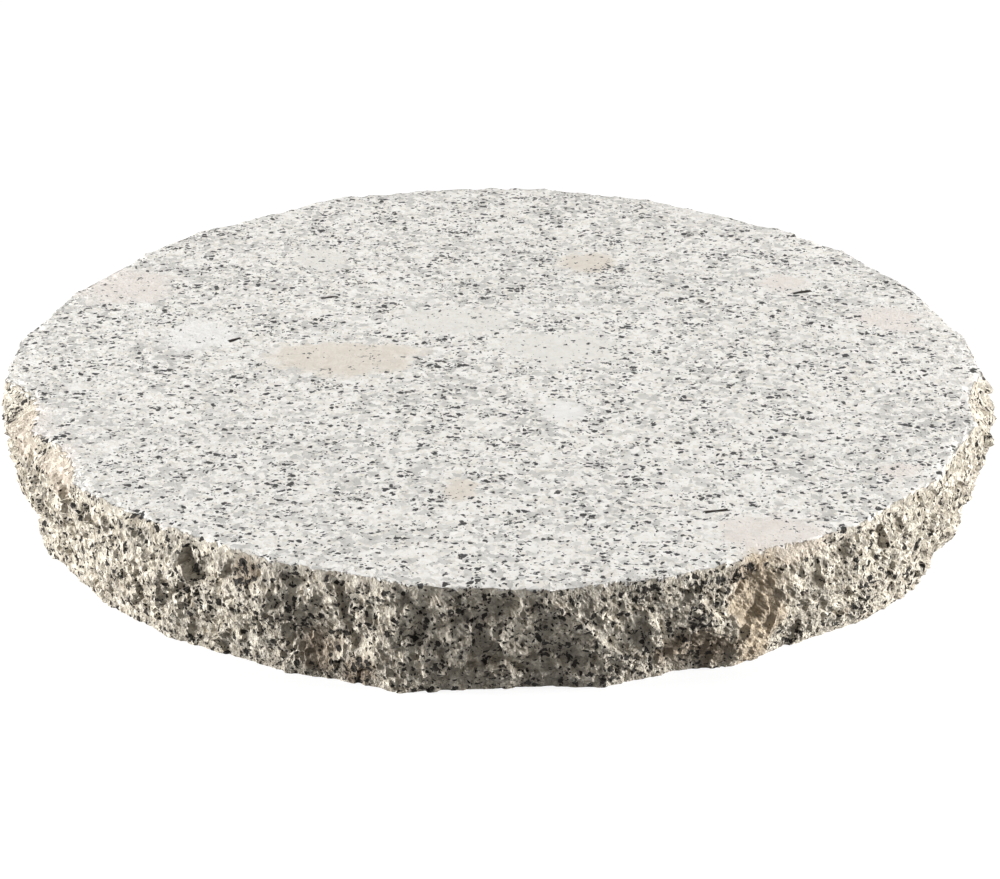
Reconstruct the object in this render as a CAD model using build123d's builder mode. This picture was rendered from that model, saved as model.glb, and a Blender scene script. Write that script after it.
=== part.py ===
from build123d import *

import os

# A round stepping slab of granite. Its top and its bed are flat and parallel, and its edge is
# split by hand all round, so it is a ring of shallow breaks that meet in ridges.
#
# The origin is the centre of the bed and +Z is up. A bearing is measured round the slab in
# degrees, from the front (-Y) towards the right (+X).

# The slab, in millimetres
slab_diameter = 350
slab_thickness = 40

# Rough stone that stands outside the nominal circle before the edge is split
rough_stock = 12

# Radii of the hollows that the breaks leave: nearly flat along the edge, deeper where a corner
# has spalled off or beside a lump that was left standing, and deepest in a pocket
edge_hollow = 480
corner_hollow = 70
lump_hollow = 55
pocket_hollow = 34

# Breaks struck down from the top. Each gives the bearing of its middle, then how far it lies
# outside the nominal circle at the top and at the belly, half way down the edge.
top_breaks = [
    (-3, -1.0, -1.4),
    (12, 0.2, 0.2),
    (24, -0.6, 1.2),
    (35, -0.3, 0.6),
    (48, 0.8, 0.8),
    (65, 1.0, 1.0),
    (79, 1.6, 6.2),
    (93, 0.9, 9.0),
    (106, -1.6, 3.4),
    (120, -1.9, 0.6),
    (134, -1.8, -0.6),
    (150, -2.6, 0.8),
    (165, -0.8, 1.6),
    (180, 0.8, 0.9),
    (-167, 0.4, 2.2),
    (-145, -2.0, 0.2),
    (-130, -0.8, -0.4),
    (-119, -2.3, 0.8),
    (-106, -0.5, 3.0),
    (-92, 3.0, 5.4),
    (-81, 3.2, 5.2),
    (-61, -1.4, -0.4),
    (-48, -1.8, -0.8),
    (-34, -5.2, -1.8),
    (-18, -4.0, -1.4),
]

# Breaks struck up from the bed, the same way: at the belly, and then at the bed.
bed_breaks = [
    (3, -1.6, -6.2),
    (17, 0.0, -4.4),
    (34, 1.0, -3.6),
    (48, 1.6, 0.4),
    (65, 1.0, -1.0),
    (76, 3.6, -1.6),
    (91, 8.6, 0.4),
    (107, 2.6, -3.6),
    (124, 0.4, -4.8),
    (141, 1.4, -3.0),
    (157, 0.2, -4.4),
    (173, 2.2, -2.4),
    (-171, 1.0, -3.6),
    (-155, 0.8, -5.0),
    (-139, 1.4, -2.6),
    (-122, 0.2, -4.4),
    (-106, 3.4, -2.2),
    (-88, 5.8, 3.0),
    (-58, -0.6, -2.2),
    (-44, -0.4, -1.8),
    (-29, -1.2, -3.6),
    (-19, -1.0, -3.0),
]

# Breaks that stop short at a lump left standing beside them, the same way.
lump_breaks = [
    (-72, -2.6, -4.2),
    (-138, 0.4, -3.4),
    (118, -0.6, -5.4),
]

# Corners spalled off the top edge: bearing, width on the top, depth down the edge.
top_spalls = [
    (-76, 7.5, 5.0),
    (-62, 8.0, 7.0),
    (-44, 4.0, 6.0),
    (-27, 4.5, 7.0),
    (31, 3.0, 5.0),
    (79, 2.5, 6.0),
    (143, 3.5, 6.0),
    (-121, 3.0, 5.0),
]

# Corners spalled off the foot of the edge: bearing, width on the bed, height up the edge.
foot_spalls = [
    (-80, 0.5, 9.0),
    (-54, 2.5, 12.0),
    (20, 5.5, 17.0),
    (62, 3.5, 9.0),
    (99, 4.0, 14.0),
    (148, 6.5, 16.0),
    (-112, 6.0, 12.0),
]

# Pockets knocked out between top and bed: bearing, height of the lower lip and of the upper lip,
# and how far inside the nominal circle the lips lie.
pockets = [
    (-18, 4.0, 31.0, 2.4),
    (28, 26.0, 37.0, 1.0),
    (-163, 8.0, 30.0, 1.6),
    (131, 12.0, 34.0, 2.0),
]

rim_radius = slab_diameter / 2
belly_height = slab_thickness / 2

os.makedirs("parts", exist_ok=True)


def break_off(bearing, lower, upper, hollow):
    """Strike a shell of stone off the edge: a ball that passes through two points.

    Both points are (radius, height) in the upright plane at this bearing, and the ball stands
    outside the line that joins them.
    """
    lower_point = Vector(0, -lower[0], lower[1])
    upper_point = Vector(0, -upper[0], upper[1])
    chord = upper_point - lower_point
    outward = Vector(1, 0, 0).cross(chord).normalized()
    reach = (hollow**2 - (chord.length / 2) ** 2) ** 0.5
    centre = (lower_point + upper_point) / 2 + outward * reach
    with Locations(Location(centre.rotate(Axis.Z, bearing), (0, 0, bearing))):
        Sphere(hollow, mode=Mode.SUBTRACT)


with BuildPart() as slab:
    # The sawn blank, still rough outside the nominal circle
    with BuildSketch(Plane.XY):
        Circle(rim_radius + rough_stock)
    extrude(amount=slab_thickness)

    # The split edge, first from the top and then from the bed
    for bearing, at_top, at_belly in top_breaks:
        belly = (rim_radius + at_belly, belly_height)
        top = (rim_radius + at_top, slab_thickness)
        break_off(bearing, belly, top, edge_hollow)
    for bearing, at_belly, at_bed in bed_breaks:
        bed = (rim_radius + at_bed, 0)
        belly = (rim_radius + at_belly, belly_height)
        break_off(bearing, bed, belly, edge_hollow)
    for bearing, at_belly, at_bed in lump_breaks:
        bed = (rim_radius + at_bed, 0)
        belly = (rim_radius + at_belly, belly_height)
        break_off(bearing, bed, belly, lump_hollow)

    # Spalled corners along the top and along the foot, and pockets between them
    for bearing, width, depth in top_spalls:
        on_edge = (rim_radius, slab_thickness - depth)
        on_top = (rim_radius - width, slab_thickness)
        break_off(bearing, on_edge, on_top, corner_hollow)
    for bearing, width, height in foot_spalls:
        on_bed = (rim_radius - width, 0)
        on_edge = (rim_radius, height)
        break_off(bearing, on_bed, on_edge, corner_hollow)
    for bearing, low, high, inset in pockets:
        lower_lip = (rim_radius - inset, low)
        upper_lip = (rim_radius - inset, high)
        break_off(bearing, lower_lip, upper_lip, pocket_hollow)

slab.part.label = "slab"
export_step(slab.part, "parts/slab.step")
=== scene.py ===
"""A round stepping slab of granite with a flamed top and a split edge, in a plain studio.

The slab lies on its bed about the Z axis. A ring of its points starts at the front (-Y) and
runs towards the right (+X).
"""
import itertools
import math

import bpy
import numpy as np
from bpy.props import FloatProperty, FloatVectorProperty, IntProperty, PointerProperty
from bpy.types import Operator, Panel, PropertyGroup
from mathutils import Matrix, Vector


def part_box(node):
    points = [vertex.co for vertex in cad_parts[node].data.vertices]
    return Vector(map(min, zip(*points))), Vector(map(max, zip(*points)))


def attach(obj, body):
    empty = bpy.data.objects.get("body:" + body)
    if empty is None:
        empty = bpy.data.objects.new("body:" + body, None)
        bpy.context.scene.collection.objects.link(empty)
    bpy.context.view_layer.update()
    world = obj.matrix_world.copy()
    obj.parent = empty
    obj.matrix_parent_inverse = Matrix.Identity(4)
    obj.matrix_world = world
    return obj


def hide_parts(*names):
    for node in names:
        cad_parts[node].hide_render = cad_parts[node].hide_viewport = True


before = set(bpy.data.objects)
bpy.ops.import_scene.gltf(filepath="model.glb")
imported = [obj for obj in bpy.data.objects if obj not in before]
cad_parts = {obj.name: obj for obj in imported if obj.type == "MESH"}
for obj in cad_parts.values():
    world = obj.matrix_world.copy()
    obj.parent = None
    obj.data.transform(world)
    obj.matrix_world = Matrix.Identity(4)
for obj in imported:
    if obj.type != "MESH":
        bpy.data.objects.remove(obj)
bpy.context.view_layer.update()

bl_info = {
    "name": "Granite Stepping Slab",
    "version": (1, 0, 0),
    "blender": (4, 5, 0),
    "location": "3D View > Sidebar > Stone",
    "description": "Builds a round granite slab with a flamed top and a split edge",
    "category": "Add Mesh",
}

MM = 0.001
NODE = "slab"
SLAB_LOW, SLAB_HIGH = (np.array(corner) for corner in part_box(NODE))
SLAB_TOP = SLAB_HIGH[2]
SLAB_REACH = np.abs([SLAB_LOW[:2], SLAB_HIGH[:2]]).max()

# Which face of the slab a point is on, as its finish attribute. The worn rim lies between the
# flamed top and the split edge.
FLAMED, WORN, SPLIT, SAWN = 1.0, 0.5, 0.0, -1.0


# Settings that a user would change

class SlabShape(PropertyGroup):
    """Shape of the slab"""
    columns: IntProperty(
        name="Columns", description="Points round the edge, a multiple of 64", default=1152)
    rows: IntProperty(
        name="Rows", description="Rings of points from the rim down to the foot", default=44)
    splinter_depth: FloatProperty(
        name="Splinter depth", description="Height of the broad splinters of the split edge",
        default=2.3 * MM, unit="LENGTH")
    crystal_depth: FloatProperty(
        name="Crystal depth", description="Height of the single crystals on the split edge",
        default=1.5 * MM, unit="LENGTH")
    flame_depth: FloatProperty(
        name="Flame depth", description="Depth of the pits that the flame leaves in the top",
        default=0.6 * MM, unit="LENGTH")
    rim_wear: FloatProperty(
        name="Rim wear", description="How far the rim of the top is crumbled away",
        default=0.6 * MM, unit="LENGTH")


class GraniteLook(PropertyGroup):
    """Colours and grain of the granite"""
    feldspar: FloatVectorProperty(
        name="Feldspar", description="Pale ground of the stone",
        default=(0.925, 0.905, 0.87), subtype="COLOR", min=0, max=1)
    cream: FloatVectorProperty(
        name="Cream feldspar", description="The warmer grains of the ground",
        default=(0.79, 0.755, 0.69), subtype="COLOR", min=0, max=1)
    quartz: FloatVectorProperty(
        name="Quartz", description="Grey, glassy grains",
        default=(0.46, 0.45, 0.43), subtype="COLOR", min=0, max=1)
    mica: FloatVectorProperty(
        name="Mica", description="Dark flecks on the split edge",
        default=(0.024, 0.02, 0.016), subtype="COLOR", min=0, max=1)
    mica_flamed: FloatVectorProperty(
        name="Flamed mica", description="Dark flecks on the flamed top",
        default=(0.06, 0.059, 0.057), subtype="COLOR", min=0, max=1)
    rust: FloatVectorProperty(
        name="Rust", description="Warm tint of the split edge",
        default=(1.0, 0.955, 0.865), subtype="COLOR", min=0, max=1)
    # Painted shade: random facets and lumps of the split edge are darkened towards this colour,
    # which stands in for the shade of deep facets.
    painted_shade: FloatVectorProperty(
        name="Recess", description="Darker tint of the facets that lie deep in the split edge",
        default=(0.40, 0.355, 0.295), subtype="COLOR", min=0, max=1)
    grain_size: FloatProperty(
        name="Grain size", description="Width of the pale grains",
        default=1.5 * MM, unit="LENGTH")
    quartz_size: FloatProperty(
        name="Quartz size", description="Width of the quartz grains",
        default=2.2 * MM, unit="LENGTH")
    fleck_spacing: FloatProperty(
        name="Fleck spacing", description="Distance between the mica flecks",
        default=2.5 * MM, unit="LENGTH")


class StudioLook(PropertyGroup):
    """Camera and light"""
    distance: FloatProperty(
        name="Distance", description="Camera to slab", default=1.05, unit="LENGTH")
    elevation: FloatProperty(
        name="Elevation", description="Camera above the horizon",
        default=math.radians(25.873), subtype="ANGLE")
    lens: FloatProperty(
        name="Lens", description="Focal length on a 36 mm sensor, in millimetres", default=101.54)
    aim: FloatVectorProperty(
        name="Aim", description="Point that the camera looks at",
        default=(1.40 * MM, 0, 6.66 * MM), unit="LENGTH")
    key: FloatProperty(
        name="Key", description="Light from above and behind, 1 being full daylight", default=0.24)
    sides: FloatProperty(
        name="Sides", description="Light from the left and from the right, 1 being full daylight",
        default=2.0)
    ambient: FloatProperty(
        name="Ambient", description="Light from all round, 1 being full daylight", default=0.3)


# Shader nodes

class Value:
    """An output of a shader node. Arithmetic on it adds Math nodes to its material."""

    def __init__(self, shader, socket):
        self.shader = shader
        self.socket = socket

    def __add__(self, other):
        return self.shader.math("ADD", self, other)

    def __sub__(self, other):
        return self.shader.math("SUBTRACT", self, other)

    def __rsub__(self, other):
        return self.shader.math("SUBTRACT", other, self)

    def __mul__(self, other):
        return self.shader.math("MULTIPLY", self, other)

    def __abs__(self):
        return self.shader.math("ABSOLUTE", self)

    __radd__ = __add__
    __rmul__ = __mul__


class Shader:
    """A new material or world and the nodes that are added to it."""

    def __init__(self, owner):
        owner.use_nodes = True
        self.owner = owner
        self.tree = owner.node_tree
        self.tree.nodes.clear()

    def node(self, kind, settings=None, inputs=None, output=0):
        """Add a node. Its settings come first, then the value or the link of each input."""
        node = self.tree.nodes.new(kind)
        for name, value in (settings or {}).items():
            setattr(node, name, value)
        for key, value in (inputs or {}).items():
            socket = node.inputs[key]
            if isinstance(value, Value):
                self.tree.links.new(value.socket, socket)
            elif socket.type == "RGBA":
                socket.default_value = (*value[:3], 1)
            else:
                socket.default_value = value
        return Value(self, node.outputs[output]) if node.outputs else None

    def math(self, operation, *numbers):
        return self.node("ShaderNodeMath", {"operation": operation}, dict(enumerate(numbers)))

    def vector(self, operation, *vectors, output=0):
        return self.node(
            "ShaderNodeVectorMath", {"operation": operation}, dict(enumerate(vectors)), output)

    def mix(self, factor, first, second, blend="MIX"):
        """The first colour where the factor is 0, and the second blended over it where it is 1."""
        return self.node(
            "ShaderNodeMix", {"data_type": "RGBA", "blend_type": blend},
            {0: factor, 6: first, 7: second}, output=2)

    def channel(self, colour, index=0):
        """The red, green or blue of a colour, as index 0, 1 or 2."""
        return self.node("ShaderNodeSeparateColor", None, {0: colour}, index)

    def ramp(self, value, low, high):
        """0 up to low, 1 from high on, and smooth between them. It falls if low is above high."""
        start, end = (0, 1) if low < high else (1, 0)
        return self.node(
            "ShaderNodeMapRange", {"interpolation_type": "SMOOTHSTEP"},
            {"Value": value, "From Min": min(low, high), "From Max": max(low, high),
             "To Min": start, "To Max": end})

    def noise(self, place, size, detail=2.0, output="Fac"):
        """Smooth noise from 0 to 1 whose lumps are about this wide."""
        return self.node(
            "ShaderNodeTexNoise", None,
            {"Vector": place, "Scale": 1 / size, "Detail": detail}, output)

    def cells(self, place, size, output):
        """An output of a Voronoi texture whose cells are about this wide.

        Its Color is random and the same all over a cell, and its Distance, in cell widths, is
        that from the cell's centre.
        """
        return self.node(
            "ShaderNodeTexVoronoi", None, {"Vector": place, "Scale": 1 / size}, output)

    def attribute(self, name, output="Fac"):
        return self.node("ShaderNodeAttribute", {"attribute_name": name}, None, output)


# Random relief

def hashed(cells, channel):
    """A repeatable random number from 0 to 1 for each row of three whole numbers.

    The three are multiplied by large odd numbers and combined. The result is then shifted and
    multiplied until all its bits are mixed.
    """
    x, y, z = (cells[:, i].astype(np.uint32) for i in range(3))
    h = x * np.uint32(0x8DA6B343) ^ y * np.uint32(0xD8163841) ^ z * np.uint32(0xCB1AB31F)
    h ^= np.uint32(channel * 0x9E3779B1 & 0xFFFFFFFF)
    for shift, factor in ((16, 0x7FEB352D), (15, 0x846CA68B)):
        h = (h ^ (h >> np.uint32(shift))) * np.uint32(factor)
    return (h ^ (h >> np.uint32(16))) / 2.0**32


def crystals(points, size, seed, tilt):
    """Height, mostly from -0.5 to 0.5, of stone that broke along flat crystal faces.

    Every cell of a cubic grid holds one crystal centre at a random place. A point belongs to
    the nearest centre and takes that crystal's own height, plus its own slope times the
    distance from the centre.
    """
    # The shift keeps the numbers of the cells above 0, because the hash takes no sign.
    scaled = points / size + 1000.5
    home = np.floor(scaled).astype(np.int64)
    nearest = np.full(len(points), np.inf)
    height = np.zeros(len(points))
    for step in itertools.product((-1, 0, 1), repeat=3):
        cell = home + step
        jitter = np.stack([hashed(cell, seed + i) for i in range(3)], axis=1)
        offset = scaled - (cell + jitter)
        distance = np.einsum("ij,ij->i", offset, offset)
        slope = np.stack([hashed(cell, seed + 3 + i) for i in range(3)], axis=1) - 0.5
        own = hashed(cell, seed + 6) - 0.5 + tilt * np.einsum("ij,ij->i", offset, slope)
        closer = distance < nearest
        height = np.where(closer, own, height)
        nearest = np.where(closer, distance, nearest)
    return height


def swell(points, size, seed, waves=48):
    """A smooth random height of about unit spread: a sum of sine waves in random directions.

    Their wavelengths lie between 0.7 and 1.5 times the given size.
    """
    draw = np.random.default_rng(seed)
    direction = draw.normal(size=(3, waves))
    direction /= np.linalg.norm(direction, axis=0)
    wavelength = size * draw.uniform(0.7, 1.5, waves)
    phase = draw.uniform(0, 2 * math.pi, waves)
    return (np.sin(points @ (direction * 2 * math.pi / wavelength) + phase).sum(axis=1)
            * math.sqrt(2 / waves))


def smooth(value, low, high):
    """0 up to low, 1 from high on, and smooth between them. It falls if low is above high."""
    share = np.clip((value - low) / (high - low), 0, 1)
    return share * share * (3 - 2 * share)


# Mesh of the slab

# Layers of relief: the width of a crystal, the random seed, and how steep its face may be
SPLINTERS = (13 * MM, 11, 1.6)
CRYSTALS = (4.2 * MM, 23, 1.2)
GRAINS = (1.9 * MM, 37, 1.0)
FLAME_PITS = ((7 * MM, 51, 1.0), (3.2 * MM, 67, 1.0))


def add_mesh(name, points, faces):
    """A new object with these points, and these faces as lists of point numbers."""
    mesh = bpy.data.meshes.new(name)
    mesh.from_pydata(points, [], faces)
    piece = bpy.data.objects.new(name, mesh)
    bpy.context.scene.collection.objects.link(piece)
    return piece


def around(radius, height):
    """Points of a ring about the slab's axis, evenly spaced from the front towards the right.

    The radius and the height are arrays whose last axis runs round the ring.
    """
    radius, height = np.broadcast_arrays(radius, height)
    bearing = 2 * math.pi * np.arange(radius.shape[-1]) / radius.shape[-1]
    return np.stack([radius * np.sin(bearing), -radius * np.cos(bearing), height], axis=-1)


def solid_radius(columns, heights):
    """Distance of the packed solid's edge from the slab's axis, at each height and column.

    A tube that stands clear of the slab is shrunk straight inwards on to the solid.
    """
    rows = len(heights)
    tube_points = around(np.full((rows, columns), 1.1 * SLAB_REACH), heights[:, None])
    faces = ring_faces(columns * np.arange(rows), [columns] * rows)
    tube = add_mesh("tube", tube_points.reshape(-1, 3), faces)
    wrap = tube.modifiers.new("wrap", "SHRINKWRAP")
    wrap.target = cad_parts[NODE]
    wrap.wrap_method = "PROJECT"
    wrap.use_positive_direction = True
    wrap.use_negative_direction = True
    shrunk = tube.evaluated_get(bpy.context.evaluated_depsgraph_get()).data
    flat = np.empty(3 * rows * columns)
    shrunk.vertices.foreach_get("co", flat)
    mesh = tube.data
    bpy.data.objects.remove(tube)
    bpy.data.meshes.remove(mesh)
    x, y, _ = flat.reshape(rows, columns, 3).transpose(2, 0, 1)
    return np.hypot(x, y)


def split_edge(shape):
    """Radius of the split edge at each row and column, and the height of each row.

    It is the packed solid's radius plus the relief of the break: broad splinters, the crystals
    on them and the grains on those. The relief is lower near the rim and the foot, and its
    mean lies a little inside the solid's surface.
    """
    heights = np.linspace(SLAB_TOP, 0, shape.rows)
    margin = 0.002 * SLAB_TOP
    radius = solid_radius(shape.columns, np.clip(heights, margin, SLAB_TOP - margin))
    place = around(radius, heights[:, None]).reshape(-1, 3)
    relief = (shape.splinter_depth * crystals(place, *SPLINTERS)
              + shape.crystal_depth * crystals(place, *CRYSTALS)
              + 0.5 * shape.crystal_depth * crystals(place, *GRAINS))
    left_at_rim, left_at_foot = 0.15, 0.45
    below_rim = smooth(SLAB_TOP - place[:, 2], 0, 8 * MM)
    above_foot = smooth(place[:, 2], 0, 7 * MM)
    relief *= left_at_rim + (1 - left_at_rim) * below_rim
    relief *= left_at_foot + (1 - left_at_foot) * above_foot
    return radius + relief.reshape(radius.shape) - 0.35 * shape.splinter_depth, heights


def top_plan(columns):
    """Columns and inward share of each ring of the top, from the rim to the middle.

    Next to the rim the rings lie about as close as the edge's own. Further in, the number of
    columns halves each time the radius does, and each ring lies 1.25 times the gap between two
    of its columns further in than the one before, which keeps the faces about square.
    """
    rim_insets = (0.8 * MM, 1.7 * MM, 2.7 * MM, 3.8 * MM, 5.0 * MM)
    inner_inset, step, fewest = 6.6 * MM, 1.25, 16
    plan = [(columns, 1 - inset / SLAB_REACH) for inset in rim_insets]
    outermost = columns // 2
    count, share = outermost, 1 - inner_inset / SLAB_REACH
    while count >= fewest:
        plan.append((count, share))
        share *= 1 - step * 2 * math.pi / count
        if share < 0.5 * count / outermost:
            count //= 2
    return plan


def bed_plan(columns):
    """Columns and inward share of each ring of the flat bed, from the foot to the middle.

    The number of columns halves from each ring to the next.
    """
    shares = (0.994, 0.983, 0.955, 0.9, 0.75, 0.5, 0.2)
    return [(columns >> halvings, share) for halvings, share in enumerate(shares)]


def flamed_depth(shape, points, inset):
    """How far the flamed top lies below the sawn plane, given each point's way in from the rim.

    The flame makes single crystals pop off, which leaves shallow pits with flat floors. Near
    the rim the stone is crumbled away as well, unevenly along it.
    """
    pits = 0.5 + 0.5 * sum(crystals(points, *layer) for layer in FLAME_PITS)
    crumbled = smooth(inset, 5 * MM, 0) ** 2 * (0.55 + 0.45 * swell(points, 9 * MM, seed=5))
    return (shape.flame_depth * np.clip(pits, 0, 1)
            + shape.rim_wear * np.clip(crumbled, 0, 1.3))


def slab_rings(shape):
    """Rings of points over the whole slab, from the middle of the top to that of the bed.

    Each ring is an array of points with the finish that they have. On the two flat faces a
    ring is the rim or the foot drawn in towards the axis. The worn rim reaches 3 mm down the
    edge.
    """
    radius, heights = split_edge(shape)
    rings = []
    for count, share in reversed(top_plan(shape.columns)):
        rim = radius[0, ::shape.columns // count]
        points = around(share * rim, SLAB_TOP)
        points[:, 2] -= flamed_depth(shape, points, (1 - share) * rim)
        rings.append((points, FLAMED))
    for row_radius, height in zip(radius, heights):
        points = around(row_radius, height)
        if height == SLAB_TOP:
            points[:, 2] -= flamed_depth(shape, points, np.zeros(shape.columns))
        worn = smooth(SLAB_TOP - height, 3 * MM, 0)
        rings.append((points, SPLIT + worn * (WORN - SPLIT)))
    for count, share in bed_plan(shape.columns):
        foot = radius[-1, ::shape.columns // count]
        rings.append((around(share * foot, 0.0), SAWN))
    return rings


def ring_faces(starts, counts):
    """Faces that join each ring to the next, given its first point and its number of points.

    Two rings of as many points are joined by quads. Between one ring and another of twice as
    many points lie three triangles for each point of the coarser one.
    """
    faces = []
    for i in range(len(counts) - 1):
        upper = starts[i] + np.arange(counts[i])
        lower = starts[i + 1] + np.arange(counts[i + 1])
        if counts[i] == counts[i + 1]:
            faces += np.stack(
                [upper, lower, np.roll(lower, -1), np.roll(upper, -1)], axis=1).tolist()
            continue
        coarse, fine = sorted((upper, lower), key=len)
        coarse_next = np.roll(coarse, -1)
        near, middle, near_next = fine[::2], fine[1::2], np.roll(fine[::2], -1)
        triangles = np.concatenate([
            np.stack([coarse, near, middle], axis=1),
            np.stack([coarse, middle, coarse_next], axis=1),
            np.stack([coarse_next, middle, near_next], axis=1)])
        faces += (triangles if coarse is upper else triangles[:, ::-1]).tolist()
    return faces


def slab_surface(shape):
    """Points, faces, finish and share of a turn of the slab's closed surface.

    The first point is the middle of the top and the last that of the bed. Each is the mean of
    the ring next to it, and a fan of triangles joins it to that ring.
    """
    rings = slab_rings(shape)
    counts = [len(points) for points, _ in rings]
    starts = 1 + np.cumsum([0] + counts)
    first, last = (rings[i][0].mean(axis=0) for i in (0, -1))
    points = np.concatenate([first[None], *(ring for ring, _ in rings), last[None]])
    finish = np.concatenate(
        [[FLAMED], *(np.full(len(ring), kind) for ring, kind in rings), [SAWN]])
    turn = np.concatenate([[0.0], *(np.arange(count) / count for count in counts), [0.0]])
    faces = ring_faces(starts[:-1], counts)
    inner = starts[0] + np.arange(counts[0])
    faces += np.stack([np.full_like(inner, 0), inner, np.roll(inner, -1)], axis=1).tolist()
    inner = starts[-2] + np.arange(counts[-1])
    faces += np.stack(
        [np.full_like(inner, starts[-1]), np.roll(inner, -1), inner], axis=1).tolist()
    return np.clip(points, SLAB_LOW, SLAB_HIGH), faces, finish, turn


def face_corners(mesh):
    """The point at each corner of the faces, and the first corner of each face."""
    corner = np.empty(len(mesh.loops), dtype=np.int32)
    mesh.loops.foreach_get("vertex_index", corner)
    start = np.empty(len(mesh.polygons), dtype=np.int32)
    mesh.polygons.foreach_get("loop_start", start)
    return corner, start


def lay_out(mesh, points, finish, turn):
    """Give the slab its texture map: the top and the bed lie flat, the edge in strips.

    The map is a square that holds the top at its full size, the strips of the edge under it,
    and the bed, smaller, beside it.
    """
    corner, start = face_corners(mesh)
    size = np.diff(np.append(start, len(corner)))

    def over_face(extreme, values):
        """The least or the greatest value of each face, given to all its corners."""
        return np.repeat(extreme.reduceat(values, start), size)

    strips, gap = 3, 3 * MM
    width = 2 * SLAB_REACH
    side = width + strips * (SLAB_TOP + gap) + 2 * gap
    bed_scale = (side - width - 3 * gap) / width
    x, y, z = points[corner].T
    top_map = np.stack([gap + SLAB_REACH + x, side - gap - SLAB_REACH + y], axis=1)
    bed_map = np.stack([side - gap + bed_scale * (x - SLAB_REACH),
                        side - gap - bed_scale * (y + SLAB_REACH)], axis=1)

    # A face that closes the ring has corners near a whole turn and corners near 0, which are
    # taken as just past the whole turn.
    own_turn = turn[corner]
    past_seam = (over_face(np.maximum, own_turn) > 0.75) & (own_turn < 0.25)
    along = strips * (own_turn + past_seam)
    strip = np.floor(over_face(np.minimum, along) + 1e-6)
    edge_map = np.stack(
        [gap + (along - strip) * width, gap + strip * (SLAB_TOP + gap) + z], axis=1)

    on_top = over_face(np.maximum, finish[corner])[:, None] == FLAMED
    on_bed = over_face(np.minimum, finish[corner])[:, None] == SAWN
    place = np.where(on_top, top_map, np.where(on_bed, bed_map, edge_map)) / side
    layer = mesh.uv_layers.new(name="OFBake")
    layer.uv.foreach_set("vector", place.ravel())


def shade_edge_flat(mesh, finish):
    """Shade the top, the bed and the worn rim smooth, and leave the split facets crisp."""
    corner, start = face_corners(mesh)
    furthest = np.maximum.reduceat(np.abs(finish[corner]), start)
    mesh.polygons.foreach_set("use_smooth", furthest > SPLIT)


# Patches in the stone

BEIGE = (0.70, 0.62, 0.52)
PALE = (0.78, 0.76, 0.71)
PINK = (0.79, 0.72, 0.67)
TAN = (0.60, 0.49, 0.36)
BROWN = (0.30, 0.22, 0.15)
WHITE = (0.88, 0.87, 0.85)

# Patches on the top: how far the middle lies to the right and to the back, half-widths, colour
# and share of the mica that is left in it. Lengths are in millimetres.
TOP_PATCHES = (
    (-57, 0, 30, 16, BEIGE, 0.25),
    (-16, 35, 24, 14, PALE, 0.4),
    (24, 9, 25, 15, PALE, 0.5),
    (37, 93, 12, 13, BEIGE, 0.8),
    (-143, 69, 21, 18, PINK, 0.5),
    (-111, 21, 14, 15, WHITE, 0.2),
    (-70, 97, 11, 11, PALE, 0.4),
    (149, 37, 14, 12, PINK, 0.5),
    (112, 71, 10, 9, PINK, 0.5),
    (137, -91, 8, 6, PINK, 0.7),
    (90, -139, 20, 15, PINK, 0.35),
    (-12, -107, 7, 8, BEIGE, 0.6),
    (24, -45, 8, 7, WHITE, 0.2),
)

# Patches on the edge: bearing in degrees, height, half-widths along and up the edge, colour and
# share of mica, where more than 1 is a nest of mica.
EDGE_PATCHES = (
    (-72, 36, 18, 7, PINK, 0.3),
    (-61, 36, 17, 7, PINK, 0.3),
    (29, 20, 11, 24, TAN, 0.3),
    (22, 9, 14, 10, BROWN, 1.2),
    (-19, 12, 9, 12, BROWN, 1.3),
    (-28, 34, 7, 6, BROWN, 2.2),
    (27, 34, 6, 4, BROWN, 2.4),
    (-15, 6, 8, 6, BROWN, 2.2),
)

# How deep a patch on the top reaches, and how far from the axis one on the edge lies, in
# millimetres
TOP_PATCH_DEPTH = 9
EDGE_PATCH_RADIUS = 175

# A patch fades out between these shares of its half-widths.
PATCH_BORDER = (1.15, 0.65)


def all_patches():
    """Middle and half-widths in millimetres, colour and share of mica of every patch."""
    for x, y, half_x, half_y, colour, share in TOP_PATCHES:
        yield (x, y, SLAB_TOP / MM), (half_x, half_y, TOP_PATCH_DEPTH), colour, share
    for bearing, height, along, up, colour, share in EDGE_PATCHES:
        angle = math.radians(bearing)
        x, y = EDGE_PATCH_RADIUS * math.sin(angle), -EDGE_PATCH_RADIUS * math.cos(angle)
        yield (x, y, height), (along, along, up), colour, share


def patches(points, finish):
    """Colour of the patches at each point with their strength as alpha, and share of mica.

    A patch is an ellipsoid in the stone, whose border is made uneven by a smooth noise. Where
    two overlap, the later one covers the other by its own strength. The split edge shows more
    mica than the flat faces.
    """
    colour = np.zeros((len(points), 4))
    mica = 1 + 0.28 * smooth(np.abs(finish), WORN, SPLIT)
    uneven = 0.10 * swell(points, 14 * MM, seed=3) + 0.07 * swell(points, 5 * MM, seed=4)
    for middle, half_widths, own_colour, share in all_patches():
        away = np.linalg.norm((points / MM - middle) / half_widths, axis=1) + uneven
        strength = smooth(away, *PATCH_BORDER)
        cover = np.where(colour[:, 3] > 0, strength, strength > 0)
        colour[:, :3] += (own_colour - colour[:, :3]) * cover[:, None]
        colour[:, 3] = np.maximum(colour[:, 3], strength)
        mica += (share - mica) * strength
    return colour, mica


# Materials

# Width of each noise that makes the grains' borders crooked, and how far it shifts them
CROOKED = ((5.0 * MM, 4.0 * MM), (1.3 * MM, 1.9 * MM))

# Widths of the other things that vary in the granite
QUARTZ_CLOUD = 22 * MM
MICA_CLOUD = 13 * MM
LUMP = 6.5 * MM
RIM_RAGGEDNESS = 2.6 * MM
FACET = 1.7 * MM
GRIT = 0.7 * MM

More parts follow.
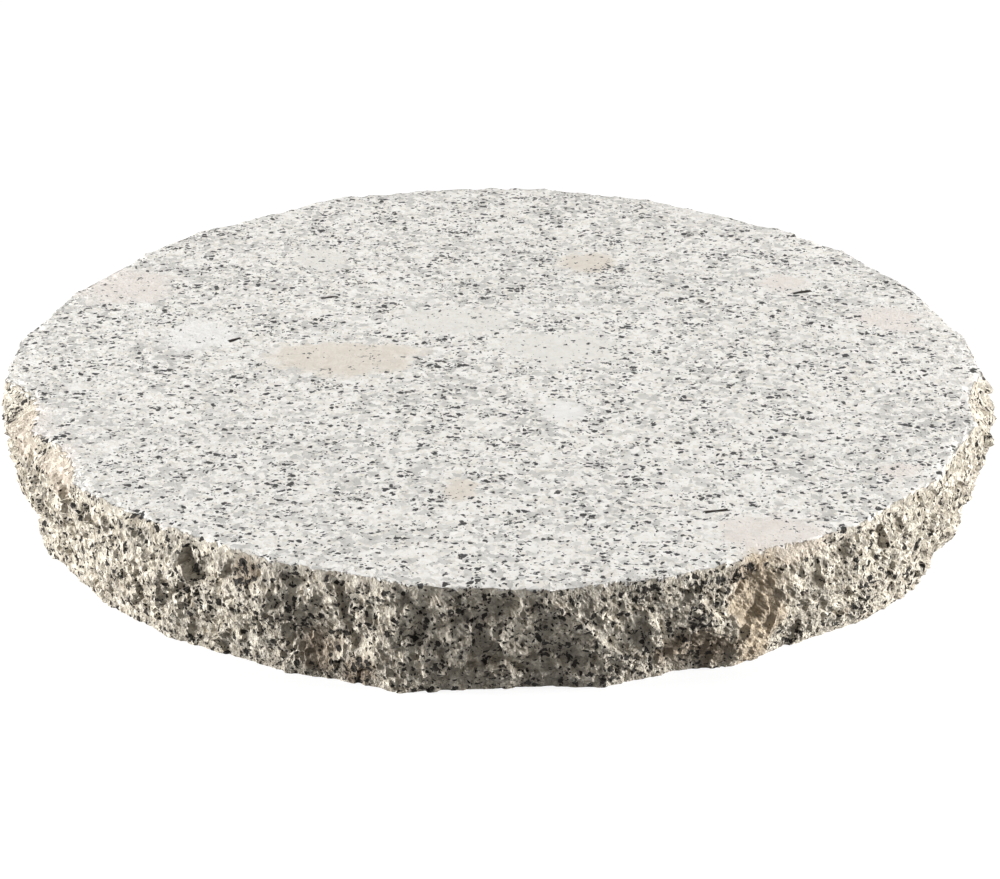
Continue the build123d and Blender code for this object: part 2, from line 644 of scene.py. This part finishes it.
BUMP_DEPTH = 0.6 * MM

# Sizes of mica fleck: the spacing as a share of the look's own, and the least and the greatest
# radius as a share of that. A radius under 0 is no fleck.
FLECK_SIZES = ((1.0, -0.28, 0.52), (0.55, -0.35, 0.50))

# How much closer together the flecks lie along X, Y and Z, which draws them out along X
FLECK_CROWDING = (0.95, 1.3, 1.0)

# Long thin crystals of mica that lie in the top: the two ends of each, in millimetres
NEEDLES = (
    ((68.3, -123.2), (76.7, -120.3)),
    ((114.3, 61.0), (122.3, 64.0)),
    ((-67.9, 56.1), (-60.7, 58.1)),
    ((-99.8, 15.2), (-95.0, 18.9)),
)
NEEDLE_WIDTH = 2.4 * MM
NEEDLE_TIP = 0.6 * MM

FLOOR_GREY = 0.22
FLOOR_GLOW = 0.86


def granite(look):
    """Granite: a ground of pale grains, with grey quartz, dark mica and warm patches in it.

    The flamed top is bleached, and its mica is grey. The split edge is warmer, and darker by a
    painted shade on random facets and lumps, and its mica is black.
    """
    shader = Shader(bpy.data.materials.new("granite"))
    plain = shader.node("ShaderNodeTexCoord", output="Object")
    place = crooked(shader, plain)
    flamed, split = finish_masks(shader, plain)

    grain = shader.cells(place, look.grain_size, "Color")
    shade, kind = shader.channel(grain, 0), shader.channel(grain, 1)
    ground = shader.mix(shade * shade, look.feldspar, look.cream)

    quartz = quartz_grains(shader, look, place, plain)
    patch = shader.attribute("patch", "Color")
    in_patch = shader.attribute("patch", "Alpha")
    ground = shader.mix(quartz * (0.7 - 0.4 * in_patch), ground, look.quartz)
    ground = shader.mix(0.62 * in_patch, ground, patch)

    # Painted shade: the split edge is multiplied from the warm rust tint, a real stain, towards
    # the painted shade colour at random facets and lumps, standing in for the shade of deep
    # facets.
    facet, lump = (shader.channel(shader.cells(place, size, "Color")) for size in (FACET, LUMP))
    tint = shader.mix(0.75 * facet + 0.2 * lump, look.rust, look.painted_shade)
    ground = shader.mix(split, ground, tint, blend="MULTIPLY")

    flecks = mica_flecks(shader, look, place, plain)
    mica = shader.mix(flamed, look.mica, look.mica_flamed)
    colour = shader.mix(flecks, ground, mica)
    needles = sum(needle(shader, plain, *ends) for ends in NEEDLES)
    colour = shader.mix(needles * flamed, colour, look.mica)

    grit = shader.noise(plain, GRIT, detail=3.0)
    grain_edge = shader.cells(place, look.grain_size, "Distance")
    height = 0.7 * grit + 0.5 * grain_edge + 0.35 * kind - 0.5 * flecks
    height = height + 1.3 * split * (facet + grit)
    bumped = shader.node("ShaderNodeBump", None, {
        "Strength": 0.8, "Distance": BUMP_DEPTH, "Height": height})
    surface = shader.node("ShaderNodeBsdfPrincipled", None, {
        "Base Color": colour,
        "Roughness": 0.86 - 0.25 * flecks - 0.2 * quartz * split,
        "Specular IOR Level": 0.2,
        "Normal": bumped})
    shader.node("ShaderNodeOutputMaterial", None, {"Surface": surface})
    return shader.owner


def crooked(shader, plain):
    """The place in the stone, shifted by a coarse and a fine noise so that grains are crooked."""
    place = plain
    for width, reach in CROOKED:
        centred = shader.vector(
            "SUBTRACT", shader.noise(plain, width, output="Color"), (0.5, 0.5, 0.5))
        place = shader.vector("ADD", place, shader.vector("MULTIPLY", centred, (reach,) * 3))
    return place


def finish_masks(shader, plain):
    """Masks of the flamed top and of the split edge, which meet in a ragged line at the rim.

    The line lies where the finish plus a noise is a little under that of the worn rim. The
    sawn bed is neither flamed nor split.
    """
    finish = shader.attribute("finish")
    ragged = finish + 1.3 * (shader.noise(plain, RIM_RAGGEDNESS) - 0.5)
    flamed = shader.ramp(ragged, 0.34, 0.50) * shader.ramp(finish, 0.02, 0.12)
    split = (1 - flamed) * shader.ramp(finish, -0.9, -0.2)
    return flamed, split


def quartz_grains(shader, look, place, plain):
    """Mask of the grey quartz: whole cells at random, and more of them in some clouds."""
    lot = shader.channel(shader.cells(place, look.quartz_size, "Color"))
    cloud = shader.noise(plain, QUARTZ_CLOUD, detail=3.0)
    return shader.ramp(lot + 1.2 * (cloud - 0.5), 0.35, 1.05)


def mica_flecks(shader, look, place, plain):
    """Mask of the dark mica: 1 in a fleck.

    Each cell of a Voronoi texture has one fleck or none. The fleck's radius is drawn at random
    for the cell, and raised where the stone is rich in mica.
    """
    share = shader.attribute("mica")
    cloud = shader.noise(plain, MICA_CLOUD)
    place = shader.vector("MULTIPLY", place, FLECK_CROWDING)
    bare = 1.0
    for spacing, least, greatest in FLECK_SIZES:
        size = spacing * look.fleck_spacing
        lot = shader.channel(shader.cells(place, size, "Color"))
        distance = shader.cells(place, size, "Distance")
        radius = least + (greatest - least) * lot + 0.7 * (cloud - 0.5) + 0.25 * (share - 1)
        bare = bare * (1 - shader.ramp(radius - distance, 0.0, 0.10))
    return 1 - bare


def needle(shader, plain, start, end):
    """Mask of one long mica crystal: a bar round the line between its two ends."""
    start, end = MM * np.array(start), MM * np.array(end)
    length = np.linalg.norm(end - start)
    along = (*(end - start) / length, 0.0)
    across = (-along[1], along[0], 0.0)
    offset = shader.vector("SUBTRACT", plain, (*(start + end) / 2, 0.0))
    down, aside = (abs(shader.vector("DOT_PRODUCT", offset, axis, output="Value"))
                   for axis in (along, across))
    return (shader.ramp(down, length / 2, length / 2 - NEEDLE_TIP)
            * shader.ramp(aside, NEEDLE_WIDTH / 2, NEEDLE_WIDTH / 4))


def floor_finish():
    """Mid-grey floor that looks white to the camera where no shadow falls on it."""
    shader = Shader(bpy.data.materials.new("floor"))
    matt = shader.node("ShaderNodeBsdfDiffuse", None, {"Color": (FLOOR_GREY,) * 3})
    glow = shader.node(
        "ShaderNodeEmission", None, {"Strength": FLOOR_GLOW * directly_seen(shader)})
    both = shader.node("ShaderNodeAddShader", None, {0: matt, 1: glow})
    shader.node("ShaderNodeOutputMaterial", None, {"Surface": both})
    return shader.owner


def directly_seen(shader):
    """1 for camera rays and for rays that mirror or pass through, and otherwise 0."""
    camera, glossy, transmitted = (
        shader.node("ShaderNodeLightPath", output=ray)
        for ray in ("Is Camera Ray", "Is Glossy Ray", "Is Transmission Ray"))
    return shader.math("MAXIMUM", camera, shader.math("MAXIMUM", glossy, transmitted))


# Slab and stage

FLOOR_REACH = 4.0

# Where each softbox stands, and its width
KEY_LAMP = ((0.0, 0.9, 1.6), 0.9)
LEFT_LAMP = ((-1.5, -0.19, 0.26), 0.6)
RIGHT_LAMP = ((1.5, -0.19, 0.26), 0.6)


def build_slab(shape, look):
    """The granite slab, which stands for the packed solid."""
    points, faces, finish, turn = slab_surface(shape)
    slab = add_mesh("granite_slab", points, faces)
    mesh = slab.data
    lay_out(mesh, points, finish, turn)
    shade_edge_flat(mesh, finish)
    colour, mica = patches(points, finish)
    for name, values in (("finish", finish), ("mica", mica)):
        mesh.attributes.new(name, "FLOAT", "POINT").data.foreach_set("value", values)
    mesh.attributes.new("patch", "FLOAT_COLOR", "POINT").data.foreach_set("color", colour.ravel())
    mesh.materials.append(granite(look))
    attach(slab, "root")
    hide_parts(NODE)


def aim(thing, target):
    """Turn a camera or a lamp to look at a point, without tilting it sideways."""
    direction = Vector(target) - thing.location
    thing.rotation_euler = direction.to_track_quat("-Z", "Y").to_euler()


def add_lamp(name, place, size, level):
    """A square softbox that gives a face turned to it this level, 1 being full daylight.

    At a distance d a lamp of power P lights a matt face so that it shows its own colour when
    P is pi squared times d squared.
    """
    light = bpy.data.lights.new(name, "AREA")
    light.size = size
    light.energy = level * math.pi**2 * Vector(place).length_squared
    lamp = bpy.data.objects.new(name, light)
    bpy.context.scene.collection.objects.link(lamp)
    lamp.location = place
    aim(lamp, (0, 0, 0))
    lamp.visible_camera = False


def add_camera(look):
    """The camera, straight in front of the slab and above it."""
    camera = bpy.data.objects.new("camera", bpy.data.cameras.new("camera"))
    bpy.context.scene.collection.objects.link(camera)
    camera.data.lens = look.lens
    back = Vector((0, -math.cos(look.elevation), math.sin(look.elevation)))
    camera.location = Vector(look.aim) + look.distance * back
    aim(camera, look.aim)
    bpy.context.scene.camera = camera


def light_world(level):
    """A world that is white to the camera and lights the slab evenly at this level."""
    shader = Shader(bpy.data.worlds.new("studio"))
    seen = directly_seen(shader)
    background = shader.node("ShaderNodeBackground", None, {
        "Strength": seen + level * (1 - seen)})
    shader.node("ShaderNodeOutputWorld", None, {"Surface": background})
    bpy.context.scene.world = shader.owner


def build_stage(look):
    """Floor, lamps, world and camera."""
    corners = [(x * FLOOR_REACH, y * FLOOR_REACH, 0)
               for x, y in ((-1, -1), (1, -1), (1, 1), (-1, 1))]
    floor = add_mesh("floor", corners, [(0, 1, 2, 3)])
    floor.data.materials.append(floor_finish())
    add_lamp("key", *KEY_LAMP, look.key)
    add_lamp("left", *LEFT_LAMP, look.sides)
    add_lamp("right", *RIGHT_LAMP, look.sides)
    light_world(look.ambient)
    add_camera(look)
    bpy.context.scene.view_settings.view_transform = "Standard"


class STONE_OT_slab(Operator):
    """Add the granite slab"""
    bl_idname = "stone.slab"
    bl_label = "Granite Slab"

    def execute(self, context):
        build_slab(context.scene.slab_shape, context.scene.granite_look)
        return {"FINISHED"}


class STONE_OT_stage(Operator):
    """Add the floor, the lamps, the world and the camera"""
    bl_idname = "stone.stage"
    bl_label = "Studio"

    def execute(self, context):
        build_stage(context.scene.studio_look)
        return {"FINISHED"}


class STONE_PT_panel(Panel):
    """Settings of the slab and of the studio, and a button for each"""
    bl_label = "Granite Stepping Slab"
    bl_space_type = "VIEW_3D"
    bl_region_type = "UI"
    bl_category = "Stone"

    def draw(self, context):
        for name, group in SETTINGS.items():
            box = self.layout.box()
            box.label(text=group.__doc__)
            for setting in group.__annotations__:
                box.prop(getattr(context.scene, name), setting)
        for operator in (STONE_OT_slab, STONE_OT_stage):
            self.layout.operator(operator.bl_idname)


SETTINGS = {"slab_shape": SlabShape, "granite_look": GraniteLook, "studio_look": StudioLook}
CLASSES = (*SETTINGS.values(), STONE_OT_slab, STONE_OT_stage, STONE_PT_panel)


def register():
    for item in CLASSES:
        bpy.utils.register_class(item)
    for name, group in SETTINGS.items():
        setattr(bpy.types.Scene, name, PointerProperty(type=group))


def unregister():
    for name in SETTINGS:
        delattr(bpy.types.Scene, name)
    for item in reversed(CLASSES):
        bpy.utils.unregister_class(item)


def main():
    register()
    bpy.ops.stone.slab()
    bpy.ops.stone.stage()


if __name__ == "__main__":
    main()
